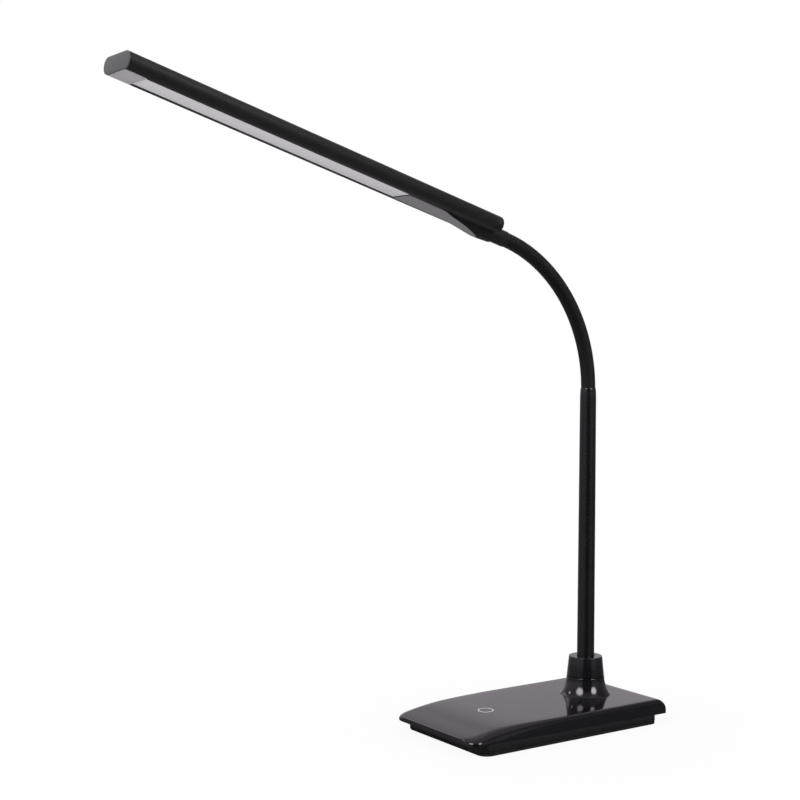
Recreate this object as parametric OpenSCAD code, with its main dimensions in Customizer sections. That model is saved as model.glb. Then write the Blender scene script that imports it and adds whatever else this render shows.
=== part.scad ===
/* [Base] */
// Width of the base cover
cover_w = 97; // [94:1:104]
// Length of the base cover, front to back
cover_l = 188; // [186:1:190]
// Height of the flat top of the cover above the table
cover_top = 18.4; // [18.2:0.1:20]
// Height of the cover's lower edge above the table, at the back
cover_edge = 6.9; // [6.8:0.1:7.2]
// How far the cover's lower edge rises from the back to the front lip
seam_rise = 1.8; // [1.2:0.1:2]
// How far the top has fallen above the front end of the tray
nose_drop = 3.6; // [3:0.1:3.8]
// Width of the tray under the cover
tray_w = 96.8; // [95:0.2:97]
// Length of the tray under the cover
tray_l = 166.4; // [164:0.2:168]
// Thickness of the foot pad
pad_t = 2.6; // [2.4:0.1:2.6]
// Outer radius of the touch ring
ring_r = 6; // [5:0.1:7]
// Distance of the touch ring in front of the middle
ring_y = -43.5; // [-44:0.5:-42]

/* [Post] */
// Distance of the post behind the middle of the base
post_y = 53.6; // [51:0.1:54]
// Height of the top rim of the post
post_top = 255.6; // [200:0.1:300]
// Outer radius at the foot of the tube
tube_r = 6.7; // [6.5:0.1:7]
// Outer radius of the tube where its tip starts to narrow
tube_tip_r = 6.25; // [6.15:0.05:6.5]
// Radius of the flared socket where it meets the cover
flare_r = 19.8; // [19:0.1:21]
// Radius of the collar at its foot
collar_r = 14.4; // [13.8:0.1:14.6]
// Height of the collar's top face
collar_top = 47.6; // [44:0.1:52]

/* [Gooseneck] */
// Radius of the arc that the neck rests in
neck_r = 117; // [105:1:130]
// Angle that the neck turns through at rest
neck_bend = 73.3; // [66:0.1:80]
// Outer radius of the neck's sleeve
sleeve_r = 5.5; // [5.5:0.1:5.6]
// Play between a ball and its cup
ball_play = 0.3; // [0.25:0.05:0.35]

/* [Head] */
// Length of the lamp head
head_l = 303.5; // [300:0.5:305]
// Width of the lamp head
head_w = 38.6; // [38:0.1:42]
// Height of the lamp head
head_h = 11; // [11:0.1:12]
// Width of the light window
window_w = 21; // [20:0.5:22]
// Start of the light window, from the tip
window_start = 16; // [14:0.5:17]
// End of the light window, from the tip
window_end = 224; // [222:0.5:226]
// Lean of the end face at the tip
cap_slant = 9.4; // [0:0.1:12]
// How many light-emitting diodes stand in each row
led_count = 18; // [8:1:18]

/* [Hidden] */
$fn = 64;
fit = 0.1;

// Base
cover_shift = 0.6;
cover_front = cover_shift - cover_l / 2;
cover_back = cover_shift + cover_l / 2;
cover_wall = 2.2;
corner_r = 9.5;
corner_back = 3;
back_r = 10.5;
lip_round = 1.4;
edge_soft = 9.5;
edge_tight = 2.9;
edge_power = 1.5;
side_steps = 6;
nose_y = 84;
nose_power = 5;
seam_tilt = atan(seam_rise / cover_l);
ring_line = 0.7;
ring_depth = 0.5;
ring_half = 8;
tray_floor = 1.4;
tray_wall = 2.6;
tray_front_r = 8.5;
tray_back_r = 3.3;
tray_rib = 1.2;
rib_inset = 3.4;
pad_inset = 0.2;
pad_hole_r = 3.2;
floor_z = pad_t + tray_floor;
screw_x = 38;
screw_front = -73;
screw_rear = 74.6;
screw_r = 1.3;
screw_l = 8.4;
head_play = 0.2;
boss_wall = 1.9;

// Ballast and its fastening
weight_w = 84;
weight_front = -20;
weight_back = 68;
weight_corner = 4;
weight_top = cover_top - cover_wall - 0.1;
weight_z = floor_z + 0.6;
nipple_r = 5;
nipple_bore = 3.6;
nipple_z = floor_z + 2;
nipple_top = 44;
nut_flats = 14;
nut_h = 3;
nut_z = nipple_z + 0.2;
washer_r = 10;
washer_t = 1;
pocket_r = 12;
groove_w = 3.2;
groove_top = 7.2;

// Electronics in the base
board_w = 60;
board_front = -72;
board_back = -26;
board_z = 9.6;
board_t = 1.4;
board_hole_x = 26;
board_hole_in = 4;
board_corner = 1.5;
standoff_r = 2.6;
standoff_bore = 0.95;
board_screw_r = 0.9;
board_screw_l = 4.6;
sensor_r = 5;
sensor_gap = 0.2;
lead_r = 0.9;

// Inlet
jack_w = 9.4;
jack_z = 11;
jack_h = 8.2;
jack_front = 78.5;
jack_step = 88;
jack_end = 93.2;
jack_nose_r = 3.9;
jack_bore_r = 3.15;
jack_floor = 83.3;
pin_r = 1.05;
pin_end = 92.4;
pin_step = 83.4;
pin_root = 80;
pin_root_r = 1.4;
notch_in = 8;

// Post
socket_z = 32;
flare_neck = 14.6;
flare_wall = 2;
flare_hollow = 6;
collar_gap = 0.6;
collar_tip_r = 12.8;
collar_side = 1.9;
collar_step = 1.2;
collar_roof = 2.4;
tube_bore = 5.1;
tube_narrow = 11;
tube_rim_r = 5.75;
bush_l = 24.6;

// Gooseneck
joint_count = 9;
neck_set_in = 1.1;
arc_z = post_top - neck_set_in;
pitch = neck_bend / joint_count;
core_r = sleeve_r - 0.9;
sleeve_bore = sleeve_r - 0.8;
ball_r = 3.4;
cup_r = ball_r + ball_play;
cup_back = 0.8;
stem_r = 1.9;
wire_r = 1.1;
core_bore = 1.5;
shoulder = 3.2;
core_rim = 1.6;
sleeve_rim = 1.2;
root_z = post_top - 22.6;

// Head, in its own frame: Y runs from the tip to the neck and Z up through the bar
head_reach = head_l + 16.5;
head_axis = 1.06;
bar_wall = 1.3;
bar_flat = head_w / 2 - head_h / 2;
cap_t = 0.9;
cap_tongue = 6;
rear_l = 6.5;
rear_tongue = 3;
shell_end = head_l - rear_l;
rear_corner = 2.5;
ledge = 2;
tongue_low = 3;
diffuser_t = 1.2;
diffuser_sink = 0.2;
filler_w = 26.4;
filler_proud = 0.45;
gap = 0.3;
led_board_w = 16;
led_board_t = 1.2;
led_board_start = 20;
led_board_end = 222;
led_l = 3.5;
led_w = 2.8;
led_h = 0.8;
led_pitch = 11;
led_first = 24;
led_row = 3;
reflector_t = 0.6;
reflector_end = 216;
panel_proud = 0.6;
panel_t = 1;
panel_gap = 0.4;
slab_start = window_end + 32;
slab_end = slab_start + 2;
boss_r = 6.8;
keel_end_r = 6.6;
boss_start = shell_end;
boss_end = head_l + 3.5;
core_end = head_l - 14.5;
sleeve_end = head_l - 3.3;
flange_top = bar_wall * 2;
wire_slot_w = 4;
wire_slot_l = 22;
wire_slot_floor = -0.4;
clamp_w = 22;
clamp_top = 8.2;
clamp_screw_x = 8;
clamp_screw_r = 1.2;
clamp_screw_l = 7.9;
clamp_screw_y = core_end + 2.6;

// Points that the leads inside the lamp pass through
JACK_ROUTE = [
    [2, 78.4, 8.4], [2.4, 75.4, 7.2], [5.5, 71.5, 6.2], [12, 69.9, 5.4], [24, 69.7, 5.2],
    [37, 69.7, 5.2], [41, 69.2, 5.2], [43.1, 67.2, 5.2], [43.4, 63, 5.2], [43.4, 24, 5.2],
    [43.4, -14, 5.2], [43, -18.5, 5.2], [40.5, -22.4, 5.4], [36, -24, 5.8], [28, -24.4, 6.4],
    [20, -25, 7.2], [15.5, -27.4, 8], [14, -31, 8.6]
];
POST_ROUTE = [
    [0, -33, 8.6], [0, -29.5, 7.8], [0, -26, 6.2], [0, -22.4, 5.2], [0, -18, 5], [0, 12, 5],
    [0, 44, 5], [0, 48.8, 5], [0, 50.9, 5.3], [0, 52.5, 6.3], [0, 53.4, 8], [0, 53.6, 10.4],
    [0, 53.6, 60], [0, 53.6, 130], [0, 53.6, 200], [0, 53.6, 252]
];
HEAD_ROUTE = [
    [0, 296, head_axis], [0, 290, head_axis], [0, 285, 1.3], [0, 280.5, 2], [0, 276, 3.3], [0, 270, 4.6],
    [0, 258, 5.4], [0, 244, 6.2], [0, 232, 7], [0, 224, 7.5], [0, 219, 7.5]
];

black = [0.07, 0.07, 0.08];
gloss_black = [0.03, 0.03, 0.035];
dark_grey = [0.2, 0.2, 0.21];
mid_grey = [0.45, 0.45, 0.47];
pale = [0.86, 0.86, 0.9];
lavender = [0.62, 0.61, 0.7];
steel = [0.6, 0.61, 0.63];
iron = [0.24, 0.23, 0.23];
green = [0.05, 0.3, 0.16];

BASE_NODES = [
    "foot_pad", "base_tray", "base_screws", "base_cover", "counterweight", "control_board",
    "board_parts", "board_screws", "touch_sensor", "touch_ring", "dc_jack", "jack_pin",
    "jack_lead", "post_nipple", "post_washer", "post_nut", "post_socket", "post_collar",
    "post_tube", "tube_bush", "post_lead", "neck_root", "neck_sleeve_root"
];
LINK_NODES = [for (i = [1:joint_count - 1]) str("neck_link_", i)];
SLEEVE_NODES = [for (i = [1:joint_count - 1]) str("neck_sleeve_", i)];
HEAD_NODES = [
    "neck_tip", "neck_sleeve_tip", "head_shell", "front_cap", "front_filler", "diffuser",
    "reflector", "led_board", "leds", "neck_housing", "under_panel", "neck_clamp",
    "clamp_screws", "rear_cap", "head_lead"
];

// ---------------------------------------------------------------- shared shapes

// A rectangle centred in X from y0 to y1, its corners rounded by r in front and by rb behind
module round_rect(w, y0, y1, r, rb) {
    translate([r - w / 2, y0]) square([w - 2 * r, y1 - y0 - rb]);
    translate([-w / 2, y0 + r]) square([w, y1 - y0 - r - rb]);
    translate([rb - w / 2, y0 + r]) square([w - 2 * rb, y1 - y0 - r]);
    for (s = [-1, 1]) {
        translate([s * (w / 2 - r), y0 + r]) circle(r);
        translate([s * (w / 2 - rb), y1 - rb]) circle(rb);
    }
}

// A slab with such an outline
module round_slab(w, y0, y1, r, rb, z0, z1) {
    translate([0, 0, z0]) linear_extrude(z1 - z0) round_rect(w, y0, y1, r, rb);
}

// Repeats a fastener at the four corners of a rectangle
module corners(x, y0, y1) {
    for (sx = [-1, 1], y = [y0, y1])
        translate([sx * x, y, 0]) children();
}

// A pan-head screw that points up, its head's seat at z
module screw(r, head_r, head_h, z, l) {
    translate([0, 0, z - head_h]) cylinder(r = head_r, h = head_h);
    translate([0, 0, z]) cylinder(r = r, h = l);
}

function unit(v) = v / norm(v);
function along(p, i) = unit(p[min(i + 1, len(p) - 1)] - p[max(i - 1, 0)]);

// One ring of a round tube at point i of route p; side is a direction off the route
function tube_ring(p, i, r, side, n) =
    let (t = along(p, i), a = unit(side - (side * t) * t), b = cross(t, a))
    [for (k = [0:n - 1]) p[i] + r * (cos(360 * k / n) * a + sin(360 * k / n) * b)];

// A solid through closed rings that all have n points
module skin(rings, n) {
    last = len(rings) - 1;
    walls = [for (i = [0:last - 1], k = [0:n - 1])
        let (a = i * n + k, b = i * n + (k + 1) % n)
        each [[a, a + n, b], [b, a + n, b + n]]];
    caps = [[for (k = [0:n - 1]) k], [for (k = [n - 1:-1:0]) last * n + k]];
    polyhedron([for (ring = rings) each ring], concat(walls, caps));
}

// A lead along a route
module lead(p, side) {
    n = 8;
    skin([for (i = [0:len(p) - 1]) tube_ring(p, i, lead_r, side, n)], n);
}

// ---------------------------------------------------------------- base

// Height of an arc of radius r at a distance d from its middle
function arc_h(r, d) = sqrt(max(0, pow(r, 2) - pow(d, 2)));

// Height of the cover's middle line, t below its outside: level, falling to the nose, round at the back
function cover_z(y, t) =
    let (round_y = cover_back - back_r,
         lip = max(0, cover_front + lip_round - y),
         fall = nose_drop * pow(max(0, -y) / nose_y, nose_power))
    y > round_y
        ? cover_top - back_r + arc_h(back_r - t, y - round_y)
        : cover_top - t - fall - (lip_round - arc_h(lip_round, lip)) / 2;

// Half the width of the cover at y, t inside its outside
function cover_x(y, t) =
    let (r = (y < 0 ? corner_r : corner_back) - t, d = min(y - cover_front, cover_back - y) - t)
    cover_w / 2 - t - (d < r ? r - arc_h(r, r - d) : 0);

// How far the soft top edge reaches in from the side
function edge_x(y) = edge_tight + (edge_soft - edge_tight) * pow(min(1, max(0, -y) / nose_y), edge_power);

// Height of the seam between the cover and the tray
function seam_z(y) = cover_edge + (cover_back - y) * tan(seam_tilt);

// One cross-section of the cover, t inside its outside, down to drop below the seam
function cover_ring(y, t, drop) =
    let (w = cover_x(y, t),
         z = cover_z(y, t),
         rx = edge_x(y) - t,
         rz = max(0.2, min(rx, z - seam_z(y) - 1)))
    concat(
        [[-w, y, seam_z(y) - drop]],
        [for (k = [0:side_steps])
            [rx * (1 - cos(90 * k / side_steps)) - w, y, z - rz * (1 - sin(90 * k / side_steps))]],
        [for (k = [side_steps:-1:0])
            [w - rx * (1 - cos(90 * k / side_steps)), y, z - rz * (1 - sin(90 * k / side_steps))]],
        [[w, y, seam_z(y) - drop]]
    );

// Where the cover's cross-sections stand; the touch ring lies on the flat between two of them
function cover_stations(t) = concat(
    [for (k = [0:5]) cover_front + t + (corner_r - t) * (1 - cos(18 * k))],
    [-78, -71, -63, ring_y - ring_half, ring_y + ring_half, -20, 0],
    [for (k = [0:9]) cover_back - back_r + (back_r - t) * sin(10 * k)]
);

// The cover's form, t inside its outside
module cover_form(t, drop) {
    skin([for (y = cover_stations(t)) cover_ring(y, t, drop)], 2 * side_steps + 4);
}

// Lays a shape that is drawn on z = 0 onto the seam
module on_seam() {
    translate([0, cover_back, cover_edge]) rotate([-seam_tilt, 0, 0])
        translate([0, -cover_back, 0]) children();
}

// Places the touch ring's pieces on the sloping top
module on_ring() {
    low = cover_z(ring_y - ring_half, 0);
    rise = cover_z(ring_y + ring_half, 0) - low;
    translate([0, ring_y, low + rise / 2])
        rotate([atan(rise / (2 * ring_half)), 0, 0]) children();
}

module ring_inlay(play) {
    difference() {
        translate([0, 0, -ring_depth]) cylinder(r = ring_r + play, h = ring_depth + play);
        translate([0, 0, -1]) cylinder(r = ring_r - ring_line - play, h = 2);
    }
}

module foot_pad() {
    half = tray_l / 2 - pad_inset;
    color(black) difference() {
        round_slab(
            tray_w - 2 * pad_inset, -half, half, tray_front_r - pad_inset, tray_back_r - pad_inset, 0, pad_t
        );
        corners(screw_x, screw_front, screw_rear)
            translate([0, 0, -1]) cylinder(r = pad_hole_r, h = pad_t + 2);
    }
}

module base_tray() {
    half = tray_l / 2;
    rib_w = cover_w - 2 * cover_wall - 2 * gap;
    inner_w = tray_w - 2 * tray_wall;
    inner = half - tray_wall;
    over = 2 * cover_edge;
    color(black) {
        difference() {
            union() {
                difference() {
                    round_slab(tray_w, -half, half, tray_front_r, tray_back_r, pad_t, over);
                    on_seam() translate([-cover_w, -cover_l, 0]) cube([2 * cover_w, 2 * cover_l, over]);
                }
                on_seam() round_slab(rib_w, cover_front + rib_inset, cover_back - rib_inset,
                    corner_r - cover_wall + gap, corner_back - cover_wall + gap, 0, tray_rib);
            }
            round_slab(inner_w, -inner, inner, tray_front_r - tray_wall, 1, floor_z, over);
            corners(screw_x, screw_front, screw_rear) cylinder(r = screw_r + head_play, h = over);
            translate([-jack_w / 2 - head_play, inner - 1, cover_edge - head_play])
                cube([jack_w + 2 * head_play, cover_back, 2 * tray_rib]);
        }
        corners(board_hole_x, board_front + board_hole_in, board_back - board_hole_in)
            translate([0, 0, floor_z]) difference() {
                cylinder(r = standoff_r, h = board_z - floor_z);
                translate([0, 0, 1]) cylinder(r = standoff_bore, h = board_z);
            }
    }
}

module base_screws() {
    color(steel) corners(screw_x, screw_front, screw_rear)
        screw(screw_r, 2 * screw_r + 0.1, screw_r, pad_t, screw_l);
}

module base_cover() {
    boss_r = screw_r + boss_wall;
    color(gloss_black) difference() {
        union() {
            difference() {
                cover_form(0, 0);
                cover_form(cover_wall, 1);
            }
            for (x = [-screw_x, screw_x], y = [screw_front, screw_rear])
                translate([x, y, floor_z]) cylinder(r = boss_r, h = cover_z(y, cover_wall / 2) - floor_z);
        }
        corners(screw_x, screw_front, screw_rear) translate([0, 0, floor_z - 1])
            cylinder(r = screw_r + 0.05, h = screw_l);
        translate([0, post_y, 0]) cylinder(r = nipple_r + fit, h = 2 * cover_top);
        translate([0, cover_back - notch_in, jack_z]) rotate([-90, 0, 0])
            cylinder(r = jack_nose_r + fit, h = 2 * notch_in);
        translate([-jack_nose_r - fit, cover_back - notch_in, 0])
            cube([2 * (jack_nose_r + fit), 2 * notch_in, jack_z]);
        on_ring() ring_inlay(0.02);
    }
}

module counterweight() {
    color(iron) difference() {
        round_slab(weight_w, weight_front, weight_back, weight_corner, weight_corner, weight_z, weight_top);
        translate([0, post_y, 0]) cylinder(r = nipple_r + fit, h = 2 * cover_top);
        translate([0, post_y, 0]) cylinder(r = pocket_r, h = nut_z + nut_h + washer_t);
        translate([-groove_w / 2, weight_front - 1, 0]) cube([groove_w, post_y - weight_front, groove_top]);
    }
}

module control_board() {
    color(green) difference() {
        round_slab(board_w, board_front, board_back, board_corner, board_corner, board_z, board_z + board_t);
        corners(board_hole_x, board_front + board_hole_in, board_back - board_hole_in)
            translate([0, 0, board_z - 1]) cylinder(r = screw_r, h = board_t + 2);
    }
}

// Parts soldered to the underside: a coil, two capacitors, two chips and two lead headers
module board_parts() {
    color(dark_grey) {
        translate([-20, -52, board_z - 3.6]) cube([8, 8, 3.6]);
        translate([-4, -62, board_z - 1.6]) cube([5, 6, 1.6]);
        translate([8, -50, board_z - 1.8]) cube([9, 7, 1.8]);
        translate([11, -36.6, board_z - 2]) cube([6, 5, 1]);
        translate([-3, -38.6, board_z - 2]) cube([6, 5, 1]);
        for (x = [10, 18])
            translate([x, -62, board_z - 4.6]) cylinder(r = 2.8, h = 4.6);
    }
}

module board_screws() {
    color(steel) corners(board_hole_x, board_front + board_hole_in, board_back - board_hole_in)
        translate([0, 0, 2 * board_z + 2 * board_t]) mirror([0, 0, 1])
            screw(board_screw_r, 2 * board_screw_r + 0.1, board_screw_r, board_z + board_t, board_screw_l);
}

// A pad of conductive foam that joins the board to the underside of the touch ring
module touch_sensor() {
    color(dark_grey) translate([0, ring_y, board_z + board_t])
        cylinder(r = sensor_r, h = cover_z(ring_y - ring_half, cover_wall) - board_z - board_t - sensor_gap);
}

module touch_ring() {
    color(pale) on_ring() ring_inlay(0);
}

module dc_jack() {
    color(black) difference() {
        union() {
            translate([-jack_w / 2, jack_front, jack_z - jack_h / 2])
                cube([jack_w, jack_step - jack_front, jack_h]);
            translate([0, jack_step, jack_z]) rotate([-90, 0, 0])
                cylinder(r = jack_nose_r, h = jack_end - jack_step);
        }
        translate([0, jack_floor, jack_z]) rotate([-90, 0, 0]) cylinder(r = jack_bore_r, h = 20);
        translate([0, pin_root, jack_z]) rotate([-90, 0, 0]) cylinder(r = pin_root_r + 0.02, h = 20);
    }
}

// Centre pin of the inlet, thicker where it is held
module jack_pin() {
    color(steel) translate([0, 0, jack_z]) rotate([-90, 0, 0]) {
        translate([0, 0, pin_root]) cylinder(r = pin_root_r, h = pin_step - pin_root);
        translate([0, 0, pin_root]) cylinder(r = pin_r, h = pin_end - pin_root);
    }
}

module jack_lead() {
    color(black) lead(JACK_ROUTE, [0, 0, 1]);
}

// ---------------------------------------------------------------- post

module post_nipple() {
    color(steel) translate([0, post_y, nipple_z]) difference() {
        cylinder(r = nipple_r, h = nipple_top - nipple_z);
        translate([0, 0, -1]) cylinder(r = nipple_bore, h = nipple_top);
    }
}

module post_washer() {
    color(steel) translate([0, post_y, nut_z + nut_h]) difference() {
        cylinder(r = washer_r, h = washer_t);
        translate([0, 0, -1]) cylinder(r = nipple_r + fit, h = washer_t + 2);
    }
}

module post_nut() {
    color(steel) translate([0, post_y, nut_z]) difference() {
        cylinder(r = nut_flats / sqrt(3), h = nut_h, $fn = 6);
        translate([0, 0, -1]) cylinder(r = nipple_r + 0.02, h = nut_h + 2);
    }
}

// The flare that spreads the post's load over the cover; its side is one hollow arc
module post_socket() {
    rise = socket_z - cover_top;
    reach = flare_r - flare_neck;
    arc_r = (pow(rise, 2) + pow(reach, 2)) / (2 * reach);
    bore = nipple_r + fit;
    color(gloss_black) translate([0, post_y, 0]) rotate_extrude() difference() {
        translate([bore, cover_top]) square([flare_r - bore, rise]);
        translate([flare_neck + arc_r, socket_z]) circle(arc_r, $fn = 128);
        translate([bore + flare_wall, cover_top - 1]) square([flare_hollow, rise * 0.6]);
    }
}

module post_collar() {
    foot = socket_z + collar_gap;
    bore = tube_r + fit;
    color(dark_grey) translate([0, post_y, 0]) rotate_extrude() polygon([
        [bore, collar_top - collar_roof], [bore, collar_top], [collar_tip_r, collar_top],
        [collar_r, foot], [collar_r - collar_step, foot], [collar_r - collar_step, socket_z],
        [collar_r - 2 * collar_step, socket_z], [collar_tip_r - collar_side, collar_top - collar_roof]
    ]);
}

module post_tube() {
    color(black) translate([0, post_y, 0]) rotate_extrude() polygon([
        [tube_bore, socket_z], [tube_r, socket_z], [tube_tip_r, post_top - tube_narrow],
        [tube_rim_r, post_top], [tube_bore, post_top]
    ]);
}

module tube_bush() {
    color(dark_grey) translate([0, post_y, post_top - bush_l]) difference() {
        cylinder(r = tube_bore - 0.05, h = bush_l);
        translate([0, 0, -1]) cylinder(r = core_r + 0.05, h = bush_l + 2);
    }
}

module post_lead() {
    color(black) lead(POST_ROUTE, [1, 0, 0]);
}

// ---------------------------------------------------------------- gooseneck

// Angle along the neck's arc for a length along its middle line
function arc_a(l) = l * 180 / (PI * neck_r);
function joint_a(i) = (i - 0.5) * pitch;

// Stands a shape on the neck's middle line: Z along the neck and Y away from the arc's centre
module neck_frame(a) {
    translate([0, post_y - neck_r, arc_z]) rotate([a, 0, 0]) translate([0, neck_r, 0]) children();
}

// Sweeps a flat section forward along the arc, from the neck frame that it is drawn in
module arc_on(angle) {
    translate([0, -neck_r, 0]) rotate([90, 0, 90])
        rotate_extrude(angle = angle, $fn = 96) translate([neck_r, 0]) children();
}

// Sweeps a flat section along the neck's arc between two angles
module neck_arc(a0, a1) {
    neck_frame(a0) arc_on(a1 - a0) children();
}

module sleeve_ring() {
    difference() {
        circle(sleeve_r);
        circle(sleeve_bore);
    }
}

// The ball at joint i, with its stem and the start of the shoulder
module ball_end(i) {
    neck_frame(joint_a(i)) {
        sphere(ball_r);
        cylinder(r = stem_r, h = shoulder + 0.6);
    }
}

// The way for the wires through the ball at joint i
module ball_bore(i) {
    neck_frame(joint_a(i)) translate([0, 0, -2 * ball_r])
        cylinder(r = wire_r, h = 2 * ball_r + shoulder + 1.2);
}

// The cup at joint i and the way for the wires up to it, from angle a
module cup_space(a, i) {
    neck_frame(joint_a(i)) sphere(cup_r);
    neck_arc(a, joint_a(i)) circle(core_bore);
}

module neck_root() {
    color(steel) difference() {
        union() {
            translate([0, post_y, root_z]) cylinder(r = core_r, h = arc_z - root_z);
            neck_arc(0, joint_a(1) + arc_a(core_rim)) circle(core_r);
        }
        translate([0, post_y, root_z - 1]) cylinder(r = core_bore, h = arc_z - root_z + 1);
        cup_space(0, 1);
    }
}

module neck_sleeve_root() {
    lift = 0.15;
    color(black) neck_arc(arc_a(neck_set_in + lift), joint_a(1) + arc_a(sleeve_rim)) sleeve_ring();
}

module neck_link(i) {
    start = joint_a(i) + arc_a(shoulder);
    color(steel) difference() {
        union() {
            ball_end(i);
            neck_arc(start, joint_a(i + 1) + arc_a(core_rim)) circle(core_r);
        }
        ball_bore(i);
        cup_space(start + arc_a(cup_back), i + 1);
    }
}

module neck_sleeve(i) {
    color(black)
        neck_arc(joint_a(i) + arc_a(shoulder), joint_a(i + 1) + arc_a(sleeve_rim)) sleeve_ring();
}

// ---------------------------------------------------------------- head

// Moves a shape from the head's own frame to its place on the end of the neck
module head_frame() {
    neck_frame(neck_bend) rotate([-90, 0, 0]) translate([0, -head_reach, -head_axis]) children();
}

// Extrudes a section of the bar, drawn as width and height, from y0 to y1
module bar(y0, y1) {
    translate([0, y1, 0]) rotate([90, 0, 0]) linear_extrude(y1 - y0) children();
}

// The bar's outline with round sides, set in by t
module bar_outline(t) {
    translate([-bar_flat, t]) square([2 * bar_flat, head_h - 2 * t]);
    for (x = [-bar_flat, bar_flat])
        translate([x, head_h / 2]) circle(head_h / 2 - t);
}

// A rod along the neck's middle line inside the head
module neck_rod(y0, y1, r) {
    translate([0, y1, head_axis]) rotate([90, 0, 0]) cylinder(r = r, h = y1 - y0);
}

// Everything that lies more than y behind the leaning end face
module behind_slant(y, depth) {
    rotate([cap_slant, 0, 0]) translate([-head_w, y, -head_w]) cube([2 * head_w, depth, 3 * head_w]);
}

// A section swept along the last of the arc and straight on into the head
module neck_end(turn, l) {
    neck_frame(neck_bend) {
        mirror([0, 0, 1]) arc_on(turn) children();
        linear_extrude(l) children();
    }
}

module neck_tip() {
    turn = neck_bend - joint_a(joint_count) - arc_a(shoulder);
    color(steel) difference() {
        union() {
            ball_end(joint_count);
            neck_end(turn, head_reach - core_end) circle(core_r);
        }
        ball_bore(joint_count);
        neck_end(turn - arc_a(cup_back), head_reach - core_end + 1) circle(core_bore);
    }
}

module neck_sleeve_tip() {
    turn = neck_bend - joint_a(joint_count) - arc_a(shoulder);
    color(black) neck_end(turn, head_reach - sleeve_end) sleeve_ring();
}

module head_shell() {
    color(black) head_frame() intersection() {
        difference() {
            bar(-head_h, shell_end) bar_outline(0);
            bar(-head_h - 1, shell_end + 1) bar_outline(bar_wall);
            bar(-head_h - 1, shell_end + 1)
                translate([-window_w / 2, -1]) square([window_w, 1 + 2 * bar_wall]);
        }
        behind_slant(cap_t, 2 * head_l);
    }
}

// Tongue of an end piece that fits inside the bar
module tongue() {
    intersection() {
        difference() {
            bar_outline(bar_wall + fit);
            bar_outline(2 * bar_wall);
        }
        translate([-head_w / 2, tongue_low]) square([head_w, head_h]);
    }
}

module front_cap() {
    color(mid_grey) head_frame() {
        intersection() {
            bar(-head_h, head_h) bar_outline(0);
            behind_slant(0, cap_t);
        }
        bar(0, cap_tongue) tongue();
    }
}

module front_filler() {
    color(lavender) head_frame() bar(cap_t + 0.1, window_start) {
        translate([-filler_w / 2, -filler_proud]) square([filler_w, filler_proud]);
        translate([fit - window_w / 2, 0]) square([window_w - 2 * fit, bar_wall]);
        translate([-window_w / 2 - ledge, bar_wall]) square([window_w + 2 * ledge, bar_wall]);
    }
}

module diffuser() {
    color(pale) head_frame() bar(window_start + 0.2, window_end - 0.2) {
        translate([fit - window_w / 2, diffuser_sink])
            square([window_w - 2 * fit, bar_wall - diffuser_sink]);
        translate([-window_w / 2 - ledge, bar_wall]) square([window_w + 2 * ledge, diffuser_t]);
    }
}

// White trough that throws the light down, slotted for the two rows of diodes
module reflector() {
    foot = bar_wall + diffuser_t;
    roof = head_h - bar_wall - led_board_t;
    wide = window_w / 2 + 1.4;
    narrow = led_board_w / 2;
    slot = led_row + led_w / 2 + 0.6;
    last = led_first + (led_count - 1) * led_pitch + led_l;
    color(pale) head_frame() difference() {
        bar(window_start + 2, reflector_end) difference() {
            polygon([[-wide, foot], [-narrow, roof], [narrow, roof], [wide, foot]]);
            polygon([
                [reflector_t - wide, foot - 0.01], [reflector_t - narrow, roof - reflector_t],
                [narrow - reflector_t, roof - reflector_t], [wide - reflector_t, foot - 0.01]
            ]);
        }
        bar(led_first - 1, last + 1) translate([-slot, roof - 1]) square([2 * slot, 2]);
    }
}

module led_board() {
    color(pale) head_frame() bar(led_board_start, led_board_end)
        translate([-led_board_w / 2, head_h - bar_wall - led_board_t]) square([led_board_w, led_board_t]);
}

module leds() {
    color([0.95, 0.85, 0.4]) head_frame()
        for (s = [-1, 1], i = [0:led_count - 1])
            translate([
                s * led_row - led_w / 2, led_first + i * led_pitch,
                head_h - bar_wall - led_board_t - led_h
            ]) cube([led_w, led_l, led_h]);
}

// Keel that carries the neck: a flat slab drawn out into the round boss
module keel() {
    hull() {
        translate([-window_w / 2, slab_start, -panel_proud])
            cube([window_w, slab_end - slab_start, panel_proud + bar_wall]);
        translate([0, boss_start, head_axis]) rotate([90, 0, 0]) cylinder(r = keel_end_r, h = 0.5, $fn = 36);
    }
}

// The flat bottom facet of the keel, down to panel_t deep
module keel_facet() {
    half = window_w / 2;
    slope = atan((keel_end_r - head_axis - panel_proud) / (boss_start - slab_end));
    intersection() {
        translate([0, 0, -head_h]) linear_extrude(2 * head_h) polygon([
            [-half, slab_start], [half, slab_start], [half, slab_end], [0, boss_start], [-half, slab_end]
        ]);
        translate([0, slab_end, panel_t - panel_proud]) rotate([-slope, 0, 0])
            translate([-head_w, -head_w, -head_w]) cube([2 * head_w, 3 * head_w, head_w]);
    }
}

// Bed of the neck in the keel: the core, the sleeve and the wires
module neck_bed() {
    neck_rod(core_end - 0.2, sleeve_end, core_r + fit);
    neck_rod(sleeve_end - 0.2, boss_end + 1, sleeve_r + fit);
    translate([-wire_slot_w / 2, core_end - wire_slot_l, wire_slot_floor])
        cube([wire_slot_w, wire_slot_l + 1, head_h]);
}

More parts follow.
